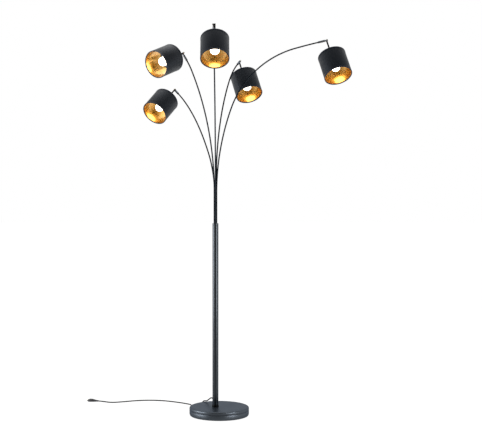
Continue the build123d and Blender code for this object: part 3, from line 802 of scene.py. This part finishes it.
for side in (-pin_offset, pin_offset):
    label = "left" if side < 0 else "right"
    pin_line = straight(end + plug_side * side * MM, plug_way)
    guard_outline = rounded([(55.5, 0), (55.5, 1.98), (sleeve_end, 1.98), (sleeve_end, 0)], 0.2)
    guard = made(f"pin_sleeve_{label}", carried(pin_line, guard_outline, 32))
    pin_outline = rounded([(sleeve_end - 1, 0), (sleeve_end - 1, 1.9), (tip, 1.9), (tip, 0)], 1.2)
    pin = made(f"pin_{label}", carried(pin_line, pin_outline, 32))
    dress(guard, "stand", moulded_grey)
    dress(pin, "stand", nickel)
    plug_pieces += [guard, pin]
print("plug pieces", len(plug_pieces))

# %% [markdown]
# ## The tie on the coil
# The spare cord is wound up and held by a strap of hook-and-loop tape, as it is stored. The strap
# goes round the turns on one side: its loop is a rounded rectangle, carried along the cord's own
# run.

# %% Coil tie
strap_half_width, strap_half_height = 10.9, 6.9


def strap_loop(v):
    """The radius, in millimetres, of a rounded rectangle in the direction v, with a power of 5."""
    x, y = np.abs(np.cos(v)) / strap_half_width, np.abs(np.sin(v)) / strap_half_height
    return (x**5 + y**5) ** (-1 / 5)


strap_line = straight((0.1035, coil_y, 6.95 * MM), (0, 1, 0), side=(1, 0, 0))
strap_outline = rounded([(-7, 0.95), (-7, 1), (7, 1), (7, 0.95)], 0.02)
strap = made("coil_tie", carried(strap_line, strap_outline, 64, strap_loop))
dress(strap, "stand", strap_weave)
print("coil tie", strap.dimensions[:])

# %% [markdown]
# ## What is told about the cord
# ## The cord and the parts inside
# The cord's real length was settled first: 2.13 m from the pole to the plug, of which the
# photograph shows the last half metre or so. The two curves take the place of the CAD model's cord
# pieces, which are hidden, and the parts in the base, the pole and the arms are painted.

# %% Cord and inner parts
for cord in (cord_to_switch, cord_to_plug):
    paint(cord, cord_sheath)
    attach(cord, "stand")
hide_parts("cord_near", "cord_coil", "cord_link")
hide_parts("cord_far")
for name, material in (
    ("arm_holder", pole_lacquer),
    ("base_weight", iron),
    ("base_pad", pad_rubber),
    ("base_stud", zinc),
    ("base_nut", zinc),
    ("lead_connector", connector_white),
    ("pole_lead", cord_sheath),
    ("arm_leads", cord_sheath),
):
    paint(nodes[name], material)

# %% [markdown]
# ## The arms
# An arm is a thin steel tube, cold bent in one plane over formers of different sizes, so it is
# straight, then bends, then bends more tightly. Its heading from upright is a function of the
# distance along it: constant on a straight run, and growing steadily round a bend.

# %% Arms
half_seat_pitch = 3.7
seat_radius = half_seat_pitch / math.sin(math.pi / 5)
arm_bottom, sleeve_grip = 937, 20
tube_radius, tube_bore = 3.5, 2.7
arms = {
    name: dict(seat=seat, plane=plane, rise=rise, bends=bends, aim=aim)
    for name, seat, plane, rise, bends, aim in (
        ("centre", -90, -94.5, 177, [(2600, 17)], (34, -90)),
        ("right", -18, 1.8, 155.5, [(1280, 19.5), (483, 54.5), (2800, 2.5)], (32.5, -68.5)),
        ("right_low", 54, 67.9, 213.8, [(860, 37.5), (405, 23.5)], (33.4, -66)),
        ("left_low", 126, 115.8, 133.4, [(387, 34), (1095, 28)], (50.3, -126.4)),
        ("left_up", 198, 145, 159, [(1450, 25.5), (420, 8.5)], (68.5, -129.1)),
    )
}


def bent(arm):
    """A centre line bent in an upright plane, and its length.

    The heading h(s) is a straight-line interpolation between the ends of the runs. The place is the
    running sum of (sin h, cos h) along s, taken on a fine grid by the trapezium rule.
    """
    lengths = [pole_top + arm["rise"] - arm_bottom]
    lengths += [radius * math.radians(turn) for radius, turn in arm["bends"]] + [sleeve_grip]
    turns = [0] + [math.radians(turn) for _, turn in arm["bends"]] + [0]
    knots = np.concatenate([[0], np.cumsum(lengths)]) * MM
    headings = np.concatenate([[0], np.cumsum(turns)])
    fine = np.linspace(0, knots[-1], 6001)
    heading = np.interp(fine, knots, headings)

    def running(values):
        return np.concatenate([[0], np.cumsum((values[1:] + values[:-1]) / 2) * fine[1]])

    outwards, upwards = running(np.sin(heading)), running(np.cos(heading))
    lean, seat = math.radians(arm["plane"]), math.radians(arm["seat"])
    level = np.array([math.cos(lean), math.sin(lean), 0])
    up = np.array([0, 0, 1.0])
    foot = np.array([math.cos(seat), math.sin(seat), 0]) * seat_radius * MM + up * arm_bottom * MM

    def place(s):
        out, rise, turn = (
            np.interp(s, fine, values)[:, None] for values in (outwards, upwards, heading)
        )
        normal = np.cos(turn) * level - np.sin(turn) * up
        return foot + out * level + rise * up, normal, np.ones_like(out) * np.cross(up, level)

    return place, knots[-1] / MM


for name, arm in arms.items():
    place, length = bent(arm)
    s = np.linspace(0, length, 160)
    outside = np.stack([s, s * 0 + tube_radius], -1)
    outline = np.concatenate([outside, np.stack([s[::-1], s * 0 + tube_bore], -1)])
    tube = made(f"bent_arm_{name}", carried(place, outline, columns=28))
    dress(tube, "stand", arm_lacquer, f"arm_{name}")
    print("arm", name, "length", round(length))

# %% [markdown]
# ## Where each head is
# The joints of the CAD model say where each head is: the swivel's axis runs down the arm's end, and
# the tilt's axis is the pivot screw. The two ears of the knuckle lie side by side on that screw, so
# the arm's line passes it 3.4 mm on one side and the shade's line 3.4 mm on the other.

# %% Head lines
half_pitch = 3.4 * MM


def head_lines(name):
    """The pivot, its axis, the arm's direction at its end, and the shade's direction."""
    tilt, swivel = joints[f"tilt_{name}"], joints[f"swivel_{name}"]
    lean, compass = (math.radians(angle) for angle in arms[name]["aim"])
    down = (math.sin(lean) * math.cos(compass), math.sin(lean) * math.sin(compass), -math.cos(lean))
    along = -np.array(swivel["axis"])
    return np.array(tilt["pos_m"]), np.array(tilt["axis"]), along, np.array(down)


heads = {name: head_lines(name) for name in arms}
shade_lines = {
    name: straight(pivot + hinge * half_pitch, down, hinge)
    for name, (pivot, hinge, _, down) in heads.items()
}
print("heads", {name: [round(float(x), 3) for x in pivot] for name, (pivot, *_) in heads.items()})

# %% [markdown]
# ## Knuckles
# The sleeve on the arm's end was turned from bar, with a groove where the swivel turns, and its end
# milled flat to an ear. The black stem has the same ear. A button-head screw clamps the two
# against a hexagon nut on the far side, tight enough to hold the shade where it is put. Its socket
# is drawn as a plain round recess.


# %% Knuckles
def hexagon(v):
    """A hexagon's radius, 1 at its corners: cos 30 / cos of the angle from the nearest flat."""
    return math.cos(math.pi / 6) / np.cos((v + math.pi / 6) % (math.pi / 3) - math.pi / 6)


def knuckle(name):
    """Sleeve, stem and screw of one head: turned outlines about three lines through the pivot."""
    pivot, hinge, along, _ = heads[name]
    arm_eye, stem_eye = pivot - hinge * half_pitch, pivot + hinge * half_pitch
    arm_line = straight(arm_eye, along, hinge)
    ear = rounded([(-3.3, 0), (-3.3, 5.5), (3.3, 5.5), (3.3, 0)], 0.7)
    barrel = [(-45, 0), (-45, 5.5), (-22.4, 5.5), (-22, 5), (-21, 5), (-20.6, 5.5), (-9.5, 5.5)]
    barrel += [(-8, 3.3), (-3, 3.3), (-3, 0)]
    sleeve = made(
        f"turned_sleeve_{name}",
        carried(arm_line, rounded(barrel, 0.5), 48),
        carried(straight(arm_eye, hinge), ear, 48),
    )
    dress(sleeve, f"knuckle_{name}", sleeve_steel, f"sleeve_{name}")
    rod = [(3, 0), (3, 3.3), (7.5, 3.3), (9.5, 4), (89.5, 4), (89.5, 0)]
    stem = made(
        f"black_stem_{name}",
        carried(shade_lines[name], rounded(rod, 0.5), 40),
        carried(straight(stem_eye, hinge), ear, 48),
    )
    dress(stem, f"head_{name}", stem_black, f"stem_{name}")
    button_head = [(-6.7, 0), (-6.7, 2), (6.7, 2), (6.7, 5.2), (7.3, 5.1), (8.3, 3.8), (8.7, 2.4)]
    button_head += [(8.7, 1.5), (7.4, 1.4), (7.4, 0)]
    nut = [(-9.7, 0), (-9.7, 3.8), (-9.2, 4.5), (-7.2, 4.5), (-6.7, 4), (-6.7, 0)]
    screw_line = straight(pivot, hinge)
    screw = made(
        f"button_screw_{name}",
        carried(screw_line, rounded(button_head, 0.3), 40),
        carried(screw_line, rounded(nut, 0.2), 48, hexagon),
    )
    dress(screw, f"knuckle_{name}", nickel, f"pivot_screw_{name}")


for name in arms:
    knuckle(name)
print("knuckles", len(arms))

# %% [markdown]
# ## Lampholders and the shades' wire frames
# The lampholder is moulded with a coarse thread outside, on which a knurled ring clamps the frame's
# hub. From the hub three wires reach to a ring in the top of the shade, and a second ring keeps the
# mouth round. A knurl is a section whose radius swings a little with the angle.


# %% Lampholders and frames
ring_radius, wire_radius, ring_at, mouth_ring_at = 67.7, 1.2, 96.3, 223.7


def knurled(v):
    """Swings by a fiftieth, 36 times a turn."""
    return 1 + 0.02 * np.cos(36 * v)


def holder_and_frame(name):
    """The fixed pieces inside one shade, as outlines about the shade's line and three spokes."""
    pivot, hinge, _, down = heads[name]
    start = pivot + hinge * half_pitch
    line = shade_lines[name]
    thread = [(108 + 0.25 * k, 13.8 + 0.2 * math.cos(math.pi * k / 4)) for k in range(105)]
    body = [(82, 0), (82, 7.5), (87, 7.5), (91, 13), (102.5, 13), (102.5, 17), (105, 17), (105, 14)]
    body += thread + [(137, 14), (137, 11.7), (133.8, 11.7), (133.8, 7.2), (112, 7.2), (112, 0)]
    ring = [(107, 14.15), (107, 19.5), (110.2, 19.5), (115, 16), (115, 14.15)]
    holder = made(
        f"threaded_lampholder_{name}",
        carried(line, body, 48),
        carried(line, rounded(ring, 0.4), 216, knurled),
    )
    dress(holder, f"head_{name}", phenolic, f"lampholder_{name}")
    hub = rounded([(105, 14.15), (105, 21), (107, 21), (107, 14.15)], 0.3)
    rings = [circle_outline(at, ring_radius, wire_radius) for at in (ring_at, mouth_ring_at)]
    skins = [carried(line, ring, 96) for ring in rings] + [carried(line, hub, 64)]
    for angle in (90, 210, 330):
        turn = math.radians(angle)
        across = hinge * math.cos(turn) + np.cross(hinge, down) * math.sin(turn)
        inner = start + (across * 19.5 + down * 106) * MM
        outer = start + (across * ring_radius + down * ring_at) * MM
        reach = np.linalg.norm(outer - inner) / MM
        spoke = [(0, 0), (0, wire_radius), (reach, wire_radius), (reach, 0)]
        skins.append(carried(straight(inner, outer - inner), spoke, 16))
    wires = made(f"wire_frame_{name}", *skins)
    dress(wires, f"head_{name}", gold_wire, f"shade_frame_{name}")


for name in arms:
    holder_and_frame(name)
print("lampholders and frames", len(arms))

# %% [markdown]
# ## Shades
# A shade is cloth glued round stiff card, with a lapped seam down the back, and a navy tape folded
# over the ring at each end. Cloth, lining and tapes are walls of their own, half a millimetre
# thick. The lining's own seam lies on the other side, so that the two laps don't add up.

# %% Shades
shade_top, shade_bottom, shade_radius = 95.0, 225.0, 70.0
lap_half_angle = 0.06


def lap(middle, share):
    """A section that stands out, or in, by this share of the radius over a narrow lap."""

    def section(v):
        away = np.abs((v - middle + math.pi) % (2 * math.pi) - math.pi)
        return 1 + share * (away < lap_half_angle)

    return section


def shade_pieces(name):
    """Cloth, lining and two tapes, each a closed outline about the shade's line."""
    line = shade_lines[name]
    body = f"head_{name}"
    high, low = shade_top + 0.4, shade_bottom - 0.4
    walls = {"cloth": (-0.5, 0.0), "lining": (-1.0, -0.55)}
    outlines = {}
    for key, (a, b) in walls.items():
        inner, outer = shade_radius + a, shade_radius + b
        outlines[key] = rounded([(high, inner), (high, outer), (low, outer), (low, inner)], 0.15)
    cloth_skin = carried(line, outlines["cloth"], 192, lap(1.5 * math.pi, 0.004))
    cloth = made(f"shade_cloth_{name}", cloth_skin)
    dress(cloth, body, shade_cloth, f"shade_{name}")
    lining_skin = carried(line, outlines["lining"], 192, lap(0.5 * math.pi, -0.003))
    lining = made(f"shade_lining_{name}", lining_skin)
    dress(lining, body, gold_foil)
    for end_at, inwards, label in ((shade_top, 1, "upper"), (shade_bottom, -1, "lower")):
        fold = [(8, 0.02), (8, 0.45), (0, 0.55), (0, -3.8), (3, -3.8), (6, -1.4), (7, -1.4)]
        fold += [(7, -1.02), (5.7, -1.02), (2.8, -3.4), (0.4, -3.4), (0.4, 0.02)]
        tape = [(end_at + inwards * inside, shade_radius + out) for inside, out in fold]
        hem = made(f"shade_hem_{label}_{name}", carried(line, rounded(tape, 0.3), 160))
        dress(hem, body, hem_tape)


for name in arms:
    shade_pieces(name)
print("shades", len(arms), "with 4 pieces each")

# %% [markdown]
# ## Bulbs
# A small screw bulb: a plated cap with a rolled thread, a white skirt that hides the driver, and
# the opal globe. The thread is drawn as rings, because its rise of 3 mm a turn doesn't show.


# %% Bulbs
globe_middle, globe_radius = 169, 22.5


def bulb_pieces(name):
    """Cap, skirt and globe about the shade's line."""
    line = shade_lines[name]
    polar = np.linspace(math.radians(30), math.pi, 40)
    globe = [(147.5, 0), (147.6, 10.9)] + [
        (globe_middle - globe_radius * math.cos(a), globe_radius * abs(math.sin(a))) for a in polar
    ]
    globe[-1] = (globe_middle + globe_radius, 0)
    glass = made(f"opal_globe_{name}", carried(line, globe, 56))
    dress(glass, f"head_{name}", opal, f"bulb_{name}")
    skirt = rounded([(133.9, 0), (133.9, 9.4), (137, 10.3), (149.6, 11.2), (149.6, 0)], 0.5)
    skirt_piece = made(f"bulb_skirt_{name}", carried(line, skirt, 48))
    dress(skirt_piece, f"head_{name}", skirt_white)
    thread = [
        (115 + 18.5 * t, 6.6 + 0.28 * math.cos(2 * math.pi * 6 * t)) for t in np.linspace(0, 1, 61)
    ]
    cap = [(112, 0), (112, 3.4), (113, 4.2)] + thread + [(134.2, 6.8), (134.2, 0)]
    dress(made(f"bulb_cap_{name}", carried(line, cap, 40)), f"head_{name}", cap_metal)


for name in arms:
    bulb_pieces(name)
print("bulbs", len(arms))

# %% [markdown]
# ## Floor and backdrop
# A product shot stands on a white paper sweep. To the camera the floor and the world show as that
# white. In reflections they are white behind the lamp and dimmer towards the camera's side, as in a
# room lit from behind, and the light that falls on the lamp stays at a plain level. The floor keeps
# a faint shadow, because a part of its brightness is real reflected light.

# %% Floor
bpy.ops.mesh.primitive_plane_add(size=120, location=(0, 0, 0))
floor = bpy.context.object
floor.name = "floor"
floor_paper = finish(
    "white_paper_sweep",
    "#F5F5F5",
    "#F7F7F7",
    roughness=(0.88, 0.92),
    grain_mm=2,
    depth_mm=0.01,
    cloud_mm=200,
)
shader = floor_paper.node_tree.nodes["Principled BSDF"]
seen_share, seen_strength = 0.85, 1.13
dim_from, bright_from, dimmest, brightest = -0.7, 0.9, 0.25, 1.1
fall = dict(zip(map_range, (dim_from, bright_from, dimmest, brightest)))
side_share = 0.8
ray = add_node(floor_paper, "ShaderNodeLightPath")
mirrored = ray.outputs["Is Glossy Ray"]
seen = add_node(
    floor_paper,
    "ShaderNodeMath",
    {0: ray.outputs["Is Camera Ray"], 1: ray.outputs["Is Transmission Ray"]},
    operation="MAXIMUM",
)
where = add_node(floor_paper, "ShaderNodeTexCoord")
place = add_node(floor_paper, "ShaderNodeSeparateXYZ", {"Vector": where.outputs["Object"]})
# Painted reflection: the floor's brightness in mirrors grows with the distance to either side, as
# well as towards the back.
aside = add_node(floor_paper, "ShaderNodeMath", {0: place.outputs["X"]}, operation="ABSOLUTE")
lit = add_node(
    floor_paper,
    "ShaderNodeMath",
    {0: aside.outputs["Value"], 1: side_share, 2: place.outputs["Y"]},
    operation="MULTIPLY_ADD",
)
sweep = add_node(
    floor_paper,
    "ShaderNodeMapRange",
    {"Value": lit.outputs["Value"], **fall},
    interpolation_type="SMOOTHSTEP",
)
brightness = add_node(
    floor_paper,
    "ShaderNodeMix",
    {0: mirrored, 2: seen_strength, 3: sweep.outputs["Result"]},
    data_type="FLOAT",
)
glow = add_node(
    floor_paper, "ShaderNodeEmission", {"Color": (1, 1, 1, 1), "Strength": brightness.outputs[0]}
)
share = add_node(
    floor_paper,
    "ShaderNodeMath",
    {0: seen.outputs["Value"], 1: seen_share, 2: mirrored},
    operation="MULTIPLY_ADD",
)
add_node(
    floor_paper,
    "ShaderNodeMixShader",
    {0: share.outputs["Value"], 1: shader.outputs["BSDF"], 2: glow.outputs["Emission"]},
    {"Shader": floor_paper.node_tree.nodes["Material Output"].inputs["Surface"]},
)
paint(floor, floor_paper)
print("floor", floor.dimensions[:2])

# %% [markdown]
# ## The studio
# The wall behind the lamp is white. On the photographer's side the room is dim, which draws the
# dark line down the middle of the pole. So the world's brightness in reflections falls from 1
# behind the lamp to a quarter on the camera's side. Tall soft boxes left and right draw the
# highlights beside it.

# %% World
ambient, dim_side, wall_side = 0.42, 0.25, 1.0
dim_from, bright_from = -0.8, 0.6
world = bpy.data.worlds.new("studio")
bpy.context.scene.world = world
world.use_nodes = True
ray = add_node(world, "ShaderNodeLightPath")
seen = add_node(
    world,
    "ShaderNodeMath",
    {0: ray.outputs["Is Camera Ray"], 1: ray.outputs["Is Transmission Ray"]},
    operation="MAXIMUM",
)
direction = add_node(world, "ShaderNodeTexCoord")
towards_wall = add_node(
    world,
    "ShaderNodeVectorMath",
    {0: direction.outputs["Generated"], 1: (0, 1, -0.6)},
    operation="DOT_PRODUCT",
)
room = add_node(
    world,
    "ShaderNodeMapRange",
    {
        "Value": towards_wall.outputs["Value"],
        **dict(zip(map_range, (dim_from, bright_from, dim_side, wall_side))),
    },
    interpolation_type="SMOOTHSTEP",
)
in_mirror = add_node(
    world,
    "ShaderNodeMix",
    {0: ray.outputs["Is Glossy Ray"], 2: ambient, 3: room.outputs["Result"]},
    data_type="FLOAT",
)
strength = add_node(
    world,
    "ShaderNodeMix",
    {0: seen.outputs["Value"], 2: in_mirror.outputs[0], 3: 1.0},
    data_type="FLOAT",
)
background = world.node_tree.nodes["Background"]
background.inputs["Color"].default_value = (1, 1, 1, 1)
world.node_tree.links.new(strength.outputs[0], background.inputs["Strength"])
print("world: ambient", ambient, "dim side", dim_side)


# %% Soft boxes
def soft_box(name, place, aim, width, height, watts):
    """A rectangular area lamp that faces a point and isn't itself in any view."""
    data = bpy.data.lights.new(name, "AREA")
    data.shape = "RECTANGLE"
    data.size, data.size_y = width, height
    data.energy = watts
    lamp = bpy.data.objects.new(name, data)
    bpy.context.scene.collection.objects.link(lamp)
    lamp.location = place
    lamp.rotation_euler = (Vector(aim) - Vector(place)).to_track_quat("-Z", "Y").to_euler()
    lamp.visible_camera = False


soft_box("soft_box_left", (-3.2, -0.7, 1.1), (0, 0, 1.0), 2.4, 2.6, 105)
soft_box("soft_box_right", (2.4, -2.0, 1.1), (0, 0, 1.0), 1.4, 2.6, 60)
soft_box("soft_box_top", (0, 1.4, 4.2), (0, 0, 0.8), 2.5, 2.5, 25)
bpy.context.scene.view_settings.view_transform = "Standard"
print("soft boxes", 3)
